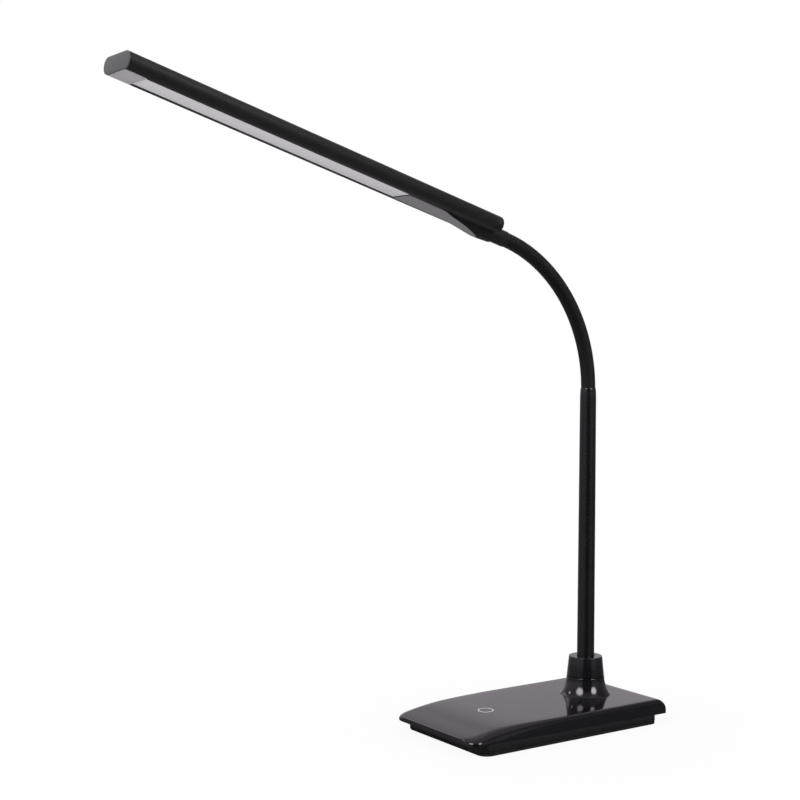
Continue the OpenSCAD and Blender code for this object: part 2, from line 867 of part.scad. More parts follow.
module neck_housing() {
    color(black) head_frame() difference() {
        union() {
            keel();
            neck_rod(boss_start - 1, boss_end, boss_r);
            bar(window_end + panel_gap, shell_end - 0.2) {
                translate([fit - window_w / 2, 0]) square([window_w - 2 * fit, bar_wall]);
                translate([-window_w / 2 - ledge, bar_wall]) square([window_w + 2 * ledge, bar_wall]);
            }
        }
        translate([-head_w / 2, slab_start - 1, flange_top])
            cube([head_w, shell_end + 1 - slab_start, head_h]);
        neck_bed();
        keel_facet();
        for (x = [-clamp_screw_x, clamp_screw_x])
            translate([x, clamp_screw_y, 0]) cylinder(r = clamp_screw_r + 0.05, h = head_h);
    }
}

module under_panel() {
    color(mid_grey) head_frame() {
        translate([-window_w / 2, window_end + panel_gap, -panel_proud])
            cube([window_w, slab_start - window_end - panel_gap, panel_proud]);
        difference() {
            intersection() {
                keel();
                keel_facet();
            }
            neck_bed();
        }
    }
}

module neck_clamp() {
    color(steel) head_frame() difference() {
        translate([-clamp_w / 2, core_end, flange_top])
            cube([clamp_w, shell_end - 0.2 - core_end, clamp_top - flange_top]);
        neck_rod(core_end - 1, shell_end + 1, core_r + 0.05);
        for (x = [-clamp_screw_x, clamp_screw_x])
            translate([x, clamp_screw_y, 0]) cylinder(r = clamp_screw_r + head_play, h = head_h);
    }
}

module clamp_screws() {
    color(steel) head_frame()
        for (x = [-clamp_screw_x, clamp_screw_x])
            translate([x, clamp_screw_y, 2 * clamp_top]) mirror([0, 0, 1])
                screw(clamp_screw_r, clamp_screw_r + 0.9, clamp_screw_r, clamp_top, clamp_screw_l);
}

module rear_cap() {
    half = head_w / 2;
    color(black) head_frame() difference() {
        union() {
            intersection() {
                bar(shell_end, head_l) bar_outline(0);
                translate([0, 0, -1]) linear_extrude(head_h + 2)
                    round_rect(head_w, shell_end - head_w, head_l, rear_corner, rear_corner);
            }
            bar(shell_end - rear_tongue, shell_end) tongue();
        }
        bar(shell_end - 1, head_l - 2) intersection() {
            bar_outline(2 * bar_wall);
            translate([-half + rear_corner, 0]) square([head_w - 2 * rear_corner, head_h]);
        }
        neck_rod(shell_end - 1, head_l + 1, boss_r + fit);
        translate([-boss_r - fit, shell_end - 1, -1]) cube([2 * (boss_r + fit), 2 * rear_l, 1 + head_axis]);
    }
}

module head_lead() {
    color(black) head_frame() lead(HEAD_ROUTE, [1, 0, 0]);
}

// ---------------------------------------------------------------- the lamp

foot_pad();
base_tray();
base_screws();
base_cover();
counterweight();
control_board();
board_parts();
board_screws();
touch_sensor();
touch_ring();
dc_jack();
jack_pin();
jack_lead();
post_nipple();
post_washer();
post_nut();
post_socket();
post_collar();
post_tube();
tube_bush();
post_lead();
neck_root();
neck_sleeve_root();
for (i = [1:joint_count - 1]) {
    neck_link(i);
    neck_sleeve(i);
}
neck_tip();
neck_sleeve_tip();
head_shell();
front_cap();
front_filler();
diffuser();
reflector();
led_board();
leds();
neck_housing();
under_panel();
neck_clamp();
clamp_screws();
rear_cap();
head_lead();
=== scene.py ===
import math

import bmesh
import bpy
from mathutils import Matrix, Vector


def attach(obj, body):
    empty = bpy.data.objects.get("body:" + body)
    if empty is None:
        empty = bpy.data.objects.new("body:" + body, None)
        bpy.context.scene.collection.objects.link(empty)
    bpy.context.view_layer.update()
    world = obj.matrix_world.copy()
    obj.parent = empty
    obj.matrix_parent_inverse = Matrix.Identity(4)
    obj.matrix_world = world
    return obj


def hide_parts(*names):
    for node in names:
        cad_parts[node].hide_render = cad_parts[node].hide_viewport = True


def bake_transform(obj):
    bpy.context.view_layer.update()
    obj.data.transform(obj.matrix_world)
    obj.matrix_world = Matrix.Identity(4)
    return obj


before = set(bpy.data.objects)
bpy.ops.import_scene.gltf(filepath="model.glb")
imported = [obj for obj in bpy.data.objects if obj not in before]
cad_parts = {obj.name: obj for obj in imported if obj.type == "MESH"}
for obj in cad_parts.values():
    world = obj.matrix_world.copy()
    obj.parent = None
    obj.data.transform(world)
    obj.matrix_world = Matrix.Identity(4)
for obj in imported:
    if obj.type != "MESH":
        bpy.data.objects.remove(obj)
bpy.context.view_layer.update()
scene = bpy.context.scene
MM = 0.001

# ---------------------------------------------------------------- measures, in mm
# the play between pieces that fit, the least radius of a corner, and how far a cutter stands out
PLAY = 0.1
LEAST_R = 0.1
OVERLAP = 1.0

# in degrees: sharper edges stay crisp in turned pieces and in the others, and get a bevel
TURNED_ANGLE = 30
SMOOTH_ANGLE = 34
BEVEL_ANGLE = 50

# the glossy cover: its box, its falling nose, its corners and its edges
COVER_W = 97.0
COVER_TOP = 18.4
COVER_EDGE = 6.9
SEAM_RISE = 1.8
COVER_FRONT = -93.4
COVER_BACK = 94.6
COVER_WALL = 2.2
NOSE_DROP = 3.6
NOSE_Y = 84.0
NOSE_POWER = 5.0
CORNER_R = 9.5
CORNER_BACK = 3.0
BACK_R = 10.5
LIP_ROUND = 1.4
EDGE_SOFT = 9.5
EDGE_TIGHT = 2.9
EDGE_POWER = 1.5
EDGE_LEAST = 0.2
EDGE_CLEAR = 1.0
FOOT_SOFT = 0.3
FOOT_CORNER = ((1.0, 0.0), (0.3, 0.3), (0.0, 1.0))
WELD = 0.02

# the touch ring
RING_Y = -44.3
RING_R = 6.0
RING_LINE = 1.1
RING_PROUD = 0.22
RING_ROOT = 0.5
RING_SOFT = 0.12

# the tray, the rib that stands up into the cover, and the pad
TRAY_W = 96.8
TRAY_HALF = 83.2
TRAY_FRONT_R = 8.5
TRAY_BACK_R = 3.3
TRAY_WALL = 2.6
TRAY_SOFT = 0.2
HOLLOW_BACK_R = 1.0
HOLLOW_SOFT = 0.05
NOTCH_SINK = 0.2
NOTCH_RISE = 3.0
NOTCH_OUT = 20.0
RIB_RISE = 1.2
RIB_SINK = 0.02
RIB_GAP = 0.3
RIB_INSET = 3.4
RIB_FRONT_R = 7.6
RIB_BACK_R = 1.1
FLOOR_Z = 4.0
PAD_T = 2.6
PAD_INSET = 0.2
PAD_SOFT = 0.95
PAD_HOLE_R = 3.2

# screws, board posts, inlet and the threaded tube under the post
SCREW_X = 38.0
SCREW_YS = (-73.0, 74.6)
SCREWS_AT = [(x, y) for x in (-SCREW_X, SCREW_X) for y in SCREW_YS]
SCREW_HOLE_R = 1.5
SCREW_BOSS_R = 3.2
SCREW_BOSS_BORE = 1.35
BOARD_X = 26.0
BOARD_YS = (-68.0, -30.0)
BOARD_POST_R = 2.6
BOARD_POST_BORE = 0.95
BOARD_POST_ROOT = 0.5
BOARD_Z = 9.6
JACK_Z = 11.0
JACK_NOSE_R = 3.9
JACK_HALF = 4.9
NIPPLE_R = 5.0
CUT_IN = 8.0
CUT_OUT = 12.0

# the post, its flared foot and its collar
POST_Y = 53.6
POST_TOP = 255.6
TUBE_R = 6.7
TUBE_TIP_R = 6.25
TUBE_NARROW = 11.0
TUBE_RIM_R = 5.75
TUBE_EDGE_R = 5.65
TUBE_BORE = 5.1
SOCKET_Z = 32.0
FLARE_R = 19.8
FLARE_NECK = 14.6
FLARE_RIM = 0.15
FLARE_START = 0.35
FLARE_SHOULDER = ((0.0, 0.3), (0.1, 0.08), (0.3, 0.0))
COLLAR_R = 14.4
COLLAR_TIP_R = 12.8
COLLAR_TOP = 47.6
COLLAR_GAP = 0.6
COLLAR_STEP = 1.2
COLLAR_WALL = 2.4
COLLAR_TIP_WALL = 1.9
COLLAR_ROUNDS = (0, 0.2, 0.35, 0.25, 0, 0, 0, 0)

# the neck
NECK_R = 117.0
NECK_BEND = math.radians(73.3)
JOINTS = 9
PITCH = NECK_BEND / JOINTS
BEND_SHARE = 0.15
ARC_Z = POST_TOP - 1.1
SLEEVE_R = 5.5
SLEEVE_WALL = 0.35
SLEEVE_FOOT = 1.12
SLEEVE_TIP = 19.8

# the head; u runs along it from the tip, v up from its underside
HEAD_L = 303.5
HEAD_W = 38.6
HEAD_H = 11.0
HEAD_REACH = HEAD_L + 16.5
HEAD_AXIS = 1.06
BAR_WALL = 1.3
BAR_SOFT = 0.12
WINDOW_HALF = 10.5
WINDOW_START = 16.0
WINDOW_END = 224.0
WINDOW_GAP = 0.2
LEDGE = 2.0
LEDGE_TOP = 2.6
CAP_SLANT = math.radians(9.4)
CAP_T = 0.9
CAP_SOFT = 0.22
SHELL_END = 297.0
REAR_CORNER = 2.5
REAR_ROUND = 3.0
REAR_GAP = 0.05
REAR_SOFT = 0.2
FILLER_HALF = 13.2
FILLER_PROUD = 0.45
FILLER_SOFT = 0.18
DIFFUSER_SINK = 0.2
DIFFUSER_TOP = 2.5
PANEL_GAP = 0.4
PANEL_HALF = 10.38
PANEL_T = 0.6
PANEL_EDGE = 0.12
PANEL_INSET = 0.05
PANEL_POINT = 0.3
PANEL_PLACES = (0.0, 0.15, 12.0, 24.0)
TAPER_START = 252.0
TAPER_STEPS = 44
KEEL_START = 256.0
KEEL_STEP = 0.5
KEEL_STEPS = 81
KEEL_TOP = 2.6
KEEL_SINK = 0.08
BOSS_START = 295.6
BOSS_R = 6.73
BOSS_END = 307.0
BOSS_SOFT = 0.8
BOSS_STEPS = 10
PLATE_END = 296.8
PLATE_SOFT = 0.15
SEAT_START = 300.1
FERRULE_R = 5.9
FERRULE_SOFT = 0.3

# how deep the keel hangs below the bar and how round it is, as (u, value)
KEEL_DEPTH = (
    (224, 0.6), (256, 0.9), (264, 1.6), (270, 2.08), (276, 2.82), (282, 3.85), (288, 5.08), (292, 5.96),
    (296, 6.6))
KEEL_ROUND = (
    (250, 10.5), (259, 10.5), (264, 9.0), (270, 7.8), (276, 7.25), (284, 7.2), (292, 7.4), (297, 7.3),
    (307, 6.73))

NECK_END = Vector((
    0, POST_Y - NECK_R + NECK_R * math.cos(NECK_BEND), ARC_Z + NECK_R * math.sin(NECK_BEND)))
HEAD_U = Vector((0, math.sin(NECK_BEND), -math.cos(NECK_BEND)))
HEAD_V = Vector((0, math.cos(NECK_BEND), math.sin(NECK_BEND)))
HEAD_O = NECK_END - HEAD_REACH * HEAD_U - HEAD_AXIS * HEAD_V


def smooth_value(table, at):
    """The value of a smooth curve through (place, value) pairs."""
    if at <= table[0][0]:
        return table[0][1]
    for i in range(len(table) - 1):
        (a, p), (b, q) = table[i], table[i + 1]
        if at <= b:
            before = table[i - 1] if i > 0 else table[i]
            after = table[i + 2] if i + 2 < len(table) else table[i + 1]
            t = (at - a) / (b - a)
            m = (q - before[1]) / (b - before[0]) * (b - a)
            n = (after[1] - p) / (after[0] - a) * (b - a)
            near = (2 * t ** 3 - 3 * t * t + 1) * p + (t ** 3 - 2 * t * t + t) * m
            far = (3 * t * t - 2 * t ** 3) * q + (t ** 3 - t * t) * n
            return near + far
    return table[-1][1]


# ---------------------------------------------------------------- mesh helpers
def head_point(x, u, v):
    """A point of the head's own frame, in the row frame."""
    return Vector((x, 0, 0)) + HEAD_O + u * HEAD_U + v * HEAD_V


def make(name, points, faces, smooth=SMOOTH_ANGLE):
    """A mesh object from points in mm, smooth except at edges sharper than the angle."""
    mesh = bpy.data.meshes.new(name)
    mesh.from_pydata([tuple(Vector(p) * MM) for p in points], [], faces)
    mesh.validate()
    shape = bmesh.new()
    shape.from_mesh(mesh)
    bmesh.ops.recalc_face_normals(shape, faces=shape.faces)
    shape.to_mesh(mesh)
    shape.free()
    mesh.shade_smooth()
    mesh.set_sharp_from_angle(angle=math.radians(smooth))
    obj = bpy.data.objects.new(name, mesh)
    scene.collection.objects.link(obj)
    return obj


def loft_faces(rings, n, loop):
    """Faces through rings of n points each, the first point of ring i at i * n."""
    faces = []
    count = rings if loop else rings - 1
    for i in range(count):
        j = (i + 1) % rings
        for k in range(n):
            m = (k + 1) % n
            faces.append((i * n + k, j * n + k, j * n + m, i * n + m))
    if not loop:
        faces.append(tuple(range(n)))
        faces.append(tuple((rings - 1) * n + k for k in range(n - 1, -1, -1)))
    return faces


def loft(name, rings, loop=False, smooth=SMOOTH_ANGLE):
    """A skin over rings of points, closed by a face at both ends or round in a loop."""
    points = [p for ring in rings for p in ring]
    return make(name, points, loft_faces(len(rings), len(rings[0]), loop), smooth)


def fillet(points, radii, steps):
    """A closed outline with its corners rounded, each by its own radius."""
    out = []
    for i, r in enumerate(radii):
        p = Vector(points[i])
        a = Vector(points[i - 1]) - p
        b = Vector(points[(i + 1) % len(points)]) - p
        if r <= 0:
            out.append(tuple(p))
            continue
        half = a.angle(b) / 2
        cut = r / math.tan(half)
        bisector = (a.normalized() + b.normalized()).normalized()
        middle = p + bisector * (r / math.sin(half))
        start = p + a.normalized() * cut - middle
        end = p + b.normalized() * cut - middle
        turn = start.angle_signed(end)
        for k in range(steps + 1):
            q = -turn * k / steps
            c, s = math.cos(q), math.sin(q)
            out.append(tuple(middle + Vector((start.x * c - start.y * s, start.x * s + start.y * c))))
    return out


def lathe(name, outline, center, segments):
    """A closed outline of (radius, height) turned about a vertical line through center."""
    x, y, foot = center
    rings = []
    for k in range(segments):
        a = 2 * math.pi * k / segments
        rings.append([(x + r * math.cos(a), y + r * math.sin(a), foot + z) for r, z in outline])
    return loft(name, rings, loop=True, smooth=TURNED_ANGLE)


def rounded(w, y0, y1, front, back, steps=8):
    """The outline of a rectangle centred in X, its corners rounded by two radii, counter-clockwise."""
    out = []
    for sx, sy, r, a0 in ((1, 1, back, 0), (-1, 1, back, 90), (-1, -1, front, 180), (1, -1, front, 270)):
        cx = sx * (w / 2 - r)
        cy = y1 - r if sy > 0 else y0 + r
        for k in range(steps + 1):
            a = math.radians(a0 + 90 * k / steps)
            out.append((cx + r * math.cos(a), cy + r * math.sin(a)))
    return out


def slab(name, w, y0, y1, front, back, z0, z1, soft, steps, lift=lambda y: 0.0):
    """A slab with rounded corners and soft upper and lower edges; lift raises its upper face."""
    turns = [math.pi / 2 * k / steps for k in range(steps + 1)]
    levels = [(soft * (1 - math.sin(a)), z0 + soft * (1 - math.cos(a)), 0) for a in turns]
    levels += [(soft * (1 - math.sin(a)), z1 - soft * (1 - math.cos(a)), 1) for a in reversed(turns)]
    rings = []
    for inset, z, upper in levels:
        front_r = max(LEAST_R, front - inset)
        back_r = max(LEAST_R, back - inset)
        outline = rounded(w - 2 * inset, y0 + inset, y1 - inset, front_r, back_r)
        rings.append([(x, y, z + upper * lift(y)) for x, y in outline])
    return loft(name, rings)


def rod(name, a, b, r, segments=64):
    """A plain cylinder between two points, used as a cutter."""
    a, b = Vector(a), Vector(b)
    w = (b - a).normalized()
    s = w.orthogonal().normalized()
    t = w.cross(s)
    turns = [2 * math.pi * k / segments for k in range(segments)]
    return loft(name, [[p + r * (math.cos(q) * s + math.sin(q) * t) for q in turns] for p in (a, b)])


def block(name, low, high):
    """A plain box, used as a cutter."""
    (x0, y0, z0), (x1, y1, z1) = low, high
    points = [(x, y, z) for x in (x0, x1) for y in (y0, y1) for z in (z0, z1)]
    faces = [(0, 1, 3, 2), (4, 6, 7, 5), (0, 4, 5, 1), (2, 3, 7, 6), (0, 2, 6, 4), (1, 5, 7, 3)]
    return make(name, points, faces)


def combine(obj, how, tools):
    """Cuts the tools from obj, or adds them to it, and removes them."""
    for tool in tools:
        step = obj.modifiers.new("combine", "BOOLEAN")
        step.operation = how
        step.solver = "EXACT"
        step.object = tool
    fix(obj)
    for tool in tools:
        bpy.data.objects.remove(tool)
    return obj


def fix(obj):
    """Makes what the modifiers do part of the mesh."""
    bpy.context.view_layer.update()
    done = obj.evaluated_get(bpy.context.evaluated_depsgraph_get())
    mesh = bpy.data.meshes.new_from_object(done)
    obj.modifiers.clear()
    old = obj.data
    obj.data = mesh
    bpy.data.meshes.remove(old)
    mesh.shade_smooth()
    mesh.set_sharp_from_angle(angle=math.radians(SMOOTH_ANGLE))
    return obj


def soften(obj, width, segments=2):
    """Rounds the sharp edges of a piece by a width in mm."""
    step = obj.modifiers.new("soft edges", "BEVEL")
    step.width = width * MM
    step.segments = segments
    step.limit_method = "ANGLE"
    step.angle_limit = math.radians(BEVEL_ANGLE)
    step.use_clamp_overlap = True
    return fix(obj)


def join(obj, others):
    """Adds other meshes to obj as they are."""
    points = [v.co / MM for v in obj.data.vertices]
    faces = [tuple(p.vertices) for p in obj.data.polygons]
    for other in others:
        start = len(points)
        points += [v.co / MM for v in other.data.vertices]
        faces += [tuple(start + v for v in p.vertices) for p in other.data.polygons]
        bpy.data.objects.remove(other)
    name = obj.name
    bpy.data.objects.remove(obj)
    return make(name, points, faces)


# ---------------------------------------------------------------- materials
# the pointiness at which the painted edge highlight starts and where it is full
EDGE_LIGHT_FROM = 0.53
EDGE_LIGHT_FULL = 0.66
GLOSS_FROM = 0.6
GLOSS_FULL = 1.4


def add_node(tree, kind, inputs, output, **settings):
    """Adds a shader node, sets or links its inputs and returns one of its outputs."""
    node = tree.nodes.new("ShaderNode" + kind)
    for key, value in settings.items():
        setattr(node, key, value)
    for key, value in inputs.items():
        if isinstance(value, bpy.types.NodeSocket):
            tree.links.new(value, node.inputs[key])
        else:
            node.inputs[key].default_value = value
    return node.outputs[output]


def math_node(tree, how, a, b):
    """One sum, product or comparison of two values."""
    return add_node(tree, "Math", {0: a, 1: b}, "Value", operation=how)


def ease_node(tree, value, start, end, low, high):
    """A smooth change from low to high as a value goes from start to end."""
    inputs = {"Value": value, "From Min": start, "From Max": end, "To Min": low, "To Max": high}
    return add_node(tree, "MapRange", inputs, "Result", interpolation_type="SMOOTHSTEP")


def color_mix(tree, share, a, b):
    """One colour that turns into another as the share goes from 0 to 1."""
    return add_node(tree, "Mix", {"Factor": share, "A": a, "B": b}, "Result", data_type="RGBA")


def surface(name, color, rough, metal=0.0, tint=0.08, cloud=40.0, grain=1800.0, spread=0.06, bump=0.1,
            depth=0.00008, wear=0.0, wear_color=(0.3, 0.3, 0.3), specular=0.5):
    """A procedural finish: clouded colour, fine grain in relief, uneven gloss and a painted highlight on
    convex edges.
    """
    material = bpy.data.materials.new(name)
    material.use_nodes = True
    tree = material.node_tree
    shader = tree.nodes["Principled BSDF"]
    shader.inputs["Metallic"].default_value = metal
    shader.inputs["Specular IOR Level"].default_value = specular
    where = add_node(tree, "TexCoord", {}, "Object")
    clouds = add_node(tree, "TexNoise", {"Vector": where, "Scale": cloud, "Detail": 4.0}, "Fac")
    fine = add_node(tree, "TexNoise", {"Vector": where, "Scale": grain, "Detail": 3.0}, "Fac")

    dark = (*[c * (1 - tint) for c in color], 1)
    light = (*[min(1, c * (1 + tint)) for c in color], 1)
    clouded = color_mix(tree, clouds, dark, light)
    # painted highlight: convex edges, found by pointiness, are lightened towards the lighter edge colour
    convex = add_node(tree, "NewGeometry", {}, "Pointiness")
    edge = add_node(tree, "MapRange", {
        "Value": convex, "From Min": EDGE_LIGHT_FROM, "From Max": EDGE_LIGHT_FULL, "To Max": wear}, "Result")
    lit_edges = color_mix(tree, math_node(tree, "MULTIPLY", edge, clouds), clouded, (*wear_color, 1))
    tree.links.new(lit_edges, shader.inputs["Base Color"])

    gloss = add_node(tree, "MapRange", {
        "Value": math_node(tree, "ADD", clouds, fine), "From Min": GLOSS_FROM, "From Max": GLOSS_FULL,
        "To Min": max(0.0, rough - spread), "To Max": min(1.0, rough + spread)}, "Result")
    tree.links.new(gloss, shader.inputs["Roughness"])
    relief = add_node(tree, "Bump", {"Height": fine, "Strength": bump, "Distance": depth}, "Normal")
    tree.links.new(relief, shader.inputs["Normal"])
    return material


MATERIALS = {}


def add_finish(name, color, rough, **more):
    MATERIALS[name] = surface(name, color, rough, **more)


# the edge colours, lighter than the base colours, paint a highlight along convex edges
add_finish("gloss_black", (0.006, 0.0055, 0.0065), 0.07, tint=0.2, cloud=25, grain=500, spread=0.03,
           bump=0.05, depth=0.00002, wear=0.15, wear_color=(0.04, 0.04, 0.045))
add_finish("tray_black", (0.0085, 0.0079, 0.0085), 0.5, tint=0.15, grain=2600, bump=0.35, wear=0.2,
           wear_color=(0.04, 0.04, 0.04), specular=0.24)
add_finish("pad_foam", (0.009, 0.009, 0.009), 0.85, tint=0.2, grain=1400, bump=0.6, depth=0.0002,
           specular=0.3)
add_finish("collar_grey", (0.008, 0.0078, 0.009), 0.14, tint=0.1, grain=3000, spread=0.04, bump=0.05,
           depth=0.00004, wear=0.2, wear_color=(0.1, 0.1, 0.11), specular=0.42)
add_finish("satin_black", (0.006, 0.0057, 0.0065), 0.24, tint=0.1, grain=3200, bump=0.06, depth=0.00005,
           wear=0.2, wear_color=(0.03, 0.03, 0.03))
add_finish("neck_rubber", (0.0065, 0.006, 0.0065), 0.5, tint=0.15, grain=2400, bump=0.16, wear=0.05,
           wear_color=(0.03, 0.03, 0.03), specular=0.3)
add_finish("head_black", (0.0125, 0.012, 0.0122), 0.58, tint=0.12, grain=2800, bump=0.15, wear=0.2,
           wear_color=(0.05, 0.05, 0.05), specular=0.3)
add_finish("housing_black", (0.0115, 0.0112, 0.0118), 0.5, tint=0.12, grain=2600, bump=0.3, wear=0.2,
           wear_color=(0.04, 0.04, 0.04), specular=0.3)
# on the front cap the painted edge highlight stands for the thin light line on its rim
add_finish("cap_grey", (0.115, 0.115, 0.117), 0.5, tint=0.06, grain=2600, bump=0.2, wear=0.3,
           wear_color=(0.28, 0.28, 0.28), specular=0.3)
add_finish("filler_grey", (0.42, 0.405, 0.43), 0.45, tint=0.04, grain=2600, bump=0.12, wear=0.2,
           wear_color=(0.6, 0.6, 0.62))
add_finish("panel_grey", (0.197, 0.191, 0.202), 0.45, tint=0.05, grain=2600, bump=0.15, wear=0.2,
           wear_color=(0.3, 0.3, 0.31))
add_finish("ring_grey", (0.6, 0.585, 0.62), 0.4, tint=0.05, grain=3000)
add_finish("diffuser_white", (0.72, 0.7, 0.73), 0.4, tint=0.02, cloud=18, grain=3500, bump=0.12)
add_finish("reflector_white", (0.85, 0.85, 0.85), 0.6, tint=0.02, grain=2000, bump=0.15)
add_finish("board_white", (0.78, 0.78, 0.76), 0.35, tint=0.04, grain=1500)
add_finish("led_yellow", (0.82, 0.66, 0.18), 0.35, grain=3000, bump=0.15)
add_finish("zinc", (0.55, 0.56, 0.58), 0.32, metal=1.0, grain=2500, bump=0.2, spread=0.1, wear=0.2,
           wear_color=(0.8, 0.8, 0.8))
add_finish("nickel", (0.68, 0.66, 0.62), 0.18, metal=1.0, tint=0.05, grain=2500, spread=0.08)
add_finish("cast_iron", (0.05, 0.047, 0.046), 0.7, metal=0.3, tint=0.3, grain=700, bump=0.8, depth=0.0004,
           wear=0.5, wear_color=(0.2, 0.18, 0.17))
add_finish("circuit_board", (0.012, 0.09, 0.04), 0.35, tint=0.15, cloud=200, bump=0.25)
add_finish("component_black", (0.02, 0.02, 0.02), 0.45, tint=0.15, grain=2500, bump=0.3)
add_finish("sensor_foam", (0.03, 0.03, 0.032), 0.9, tint=0.2, grain=1600, bump=0.7, depth=0.0002)
add_finish("lead_black", (0.012, 0.012, 0.012), 0.4, tint=0.15, grain=2500, bump=0.2)


def finish_piece(obj, slot, body=None, stands_for=()):
    """Gives a piece its finish and, when one is given, its body, and hides the CAD nodes it stands for."""
    obj.data.materials.clear()
    obj.data.materials.append(MATERIALS[slot])
    if body:
        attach(obj, body)
    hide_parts(*stands_for)
    return obj


# ---------------------------------------------------------------- base
def arc_h(r, d):
    return math.sqrt(max(0.0, r * r - d * d))


def cover_z(y, t):
    """Height of the cover's middle line, t below its outside."""
    round_y = COVER_BACK - BACK_R
    if y > round_y:
        return COVER_TOP - BACK_R + arc_h(BACK_R - t, y - round_y)
    lip = max(0.0, COVER_FRONT + LIP_ROUND - y)
    fall = NOSE_DROP * (max(0.0, -y) / NOSE_Y) ** NOSE_POWER
    return COVER_TOP - t - fall - (LIP_ROUND - arc_h(LIP_ROUND, lip)) / 2


def cover_x(y, t):
    """Half the width of the cover, t inside its outside."""
    r = (CORNER_R if y < 0 else CORNER_BACK) - t
    d = min(y - COVER_FRONT, COVER_BACK - y) - t
    return COVER_W / 2 - t - (r - arc_h(r, r - d) if d < r else 0)


def edge_x(y):
    """How far the top edge's rounding reaches in from the side."""
    return EDGE_TIGHT + (EDGE_SOFT - EDGE_TIGHT) * min(1.0, max(0.0, -y) / NOSE_Y) ** EDGE_POWER


def seam_z(y):
    """Height of the seam between cover and tray, a little higher in front."""
    return COVER_EDGE + (COVER_BACK - y) * SEAM_RISE / (COVER_BACK - COVER_FRONT)


def cover_section(y, t, steps=14, across=12):
    """One cross-section of the cover's outside, from the left foot over to the right foot."""
    w = cover_x(y, t)
    z = cover_z(y, t)
    rx = edge_x(y) - t
    foot = seam_z(y)
    rz = max(EDGE_LEAST, min(rx, z - foot - EDGE_CLEAR))
    soft = FOOT_SOFT if t == 0 else 0.0
    corner = [(soft * inset, soft * rise) for inset, rise in FOOT_CORNER]
    turns = [math.pi / 2 * k / steps for k in range(steps + 1)]
    flat = w - rx
    out = [(inset - w, y, foot + rise) for inset, rise in corner]
    out += [(rx * (1 - math.cos(a)) - w, y, z - rz * (1 - math.sin(a))) for a in turns]
    out += [(-flat + 2 * flat * k / across, y, z) for k in range(1, across)]
    out += [(w - rx * (1 - math.cos(a)), y, z - rz * (1 - math.sin(a))) for a in reversed(turns)]
    out += [(w - inset, y, foot + rise) for inset, rise in reversed(corner)]
    return out


def cover_stations(t, front=16, middle=60, back=20):
    """Where the cross-sections stand, closer together at the lip, the corners and the back."""
    out = [COVER_FRONT + t + (CORNER_R - t) * (1 - math.cos(math.pi / 2 * k / front))
           for k in range(front)]
    start = COVER_FRONT + CORNER_R
    end = COVER_BACK - BACK_R
    out += [start + (end - start) * k / middle for k in range(middle)]
    out += [end + (BACK_R - t) * math.sin(math.pi / 2 * k / back) for k in range(back + 1)]
    return out


def hollow_post(x, y, bore, r, low, high):
    """A round post with a screw hole."""
    return lathe("post", [(bore, low), (r, low), (r, high), (bore, high)], (x, y, 0), segments=32)


def build_cover():
    """The glossy upper shell, hollow, with its screw bosses, the post's hole and the inlet's notch."""
    outer = [cover_section(y, 0) for y in cover_stations(0)]
    inner = [cover_section(y, COVER_WALL) for y in cover_stations(COVER_WALL)]
    n = len(outer[0])
    rings = len(outer)
    points = [p for ring in outer for p in ring] + [p for ring in inner for p in ring]
    shift = n * rings
    faces = []
    for i in range(rings - 1):
        for k in range(n - 1):
            a = i * n + k
            faces.append((a, a + n, a + n + 1, a + 1))
            faces.append((shift + a, shift + a + 1, shift + a + n + 1, shift + a + n))
        for k, flip in ((0, False), (n - 1, True)):
            a = i * n + k
            strip = (a, shift + a, shift + a + n, a + n)
            faces.append(strip[::-1] if flip else strip)
    first = list(range(n))
    last = [(rings - 1) * n + k for k in range(n)]
    faces.append(tuple(first))
    faces.append(tuple(last[::-1]))
    faces.append(tuple(shift + k for k in first[::-1]))
    faces.append(tuple(shift + k for k in last))
    faces.append((first[-1], shift + first[-1], shift + first[0], first[0]))
    faces.append((last[0], shift + last[0], shift + last[-1], last[-1]))
    cover = make("base_cover_skin", points, faces)
    weld = cover.modifiers.new("weld", "WELD")
    weld.merge_threshold = WELD * MM
    fix(cover)
    notch = JACK_NOSE_R + PLAY
    inside = COVER_BACK - CUT_IN
    outside = COVER_BACK + CUT_OUT
    combine(cover, "DIFFERENCE", [
        rod("cut", (0, POST_Y, COVER_TOP - CUT_IN), (0, POST_Y, COVER_TOP + CUT_OUT), NIPPLE_R + PLAY),
        rod("cut", (0, inside, JACK_Z), (0, outside, JACK_Z), notch),
        block("cut", (-notch, inside, 0), (notch, outside, JACK_Z))])
    half = COVER_WALL / 2
    return join(cover, [hollow_post(x, y, SCREW_BOSS_BORE, SCREW_BOSS_R, FLOOR_Z, cover_z(y, half))
                        for x, y in SCREWS_AT])


finish_piece(build_cover(), "gloss_black", "base", ["base_cover"])


def build_ring(segments=96):
    """The touch ring, laid into the falling top and standing a hair proud of it."""
    inner = RING_R - RING_LINE
    corners = [(inner, -RING_ROOT), (RING_R, -RING_ROOT), (RING_R, RING_PROUD), (inner, RING_PROUD)]
    outline = fillet(corners, [0, 0, RING_SOFT, RING_SOFT], steps=3)
    rings = []
    for k in range(segments):
        a = 2 * math.pi * k / segments
        ring = []
        for r, h in outline:
            y = RING_Y + r * math.sin(a)
            ring.append((r * math.cos(a), y, cover_z(y, 0) + h))
        rings.append(ring)
    return loft("touch_ring_inlay", rings, loop=True)


finish_piece(build_ring(), "ring_grey", "base", ["touch_ring"])


def seam_lift(y):
    """How much higher the seam is here than at the back."""
    return seam_z(y) - COVER_EDGE


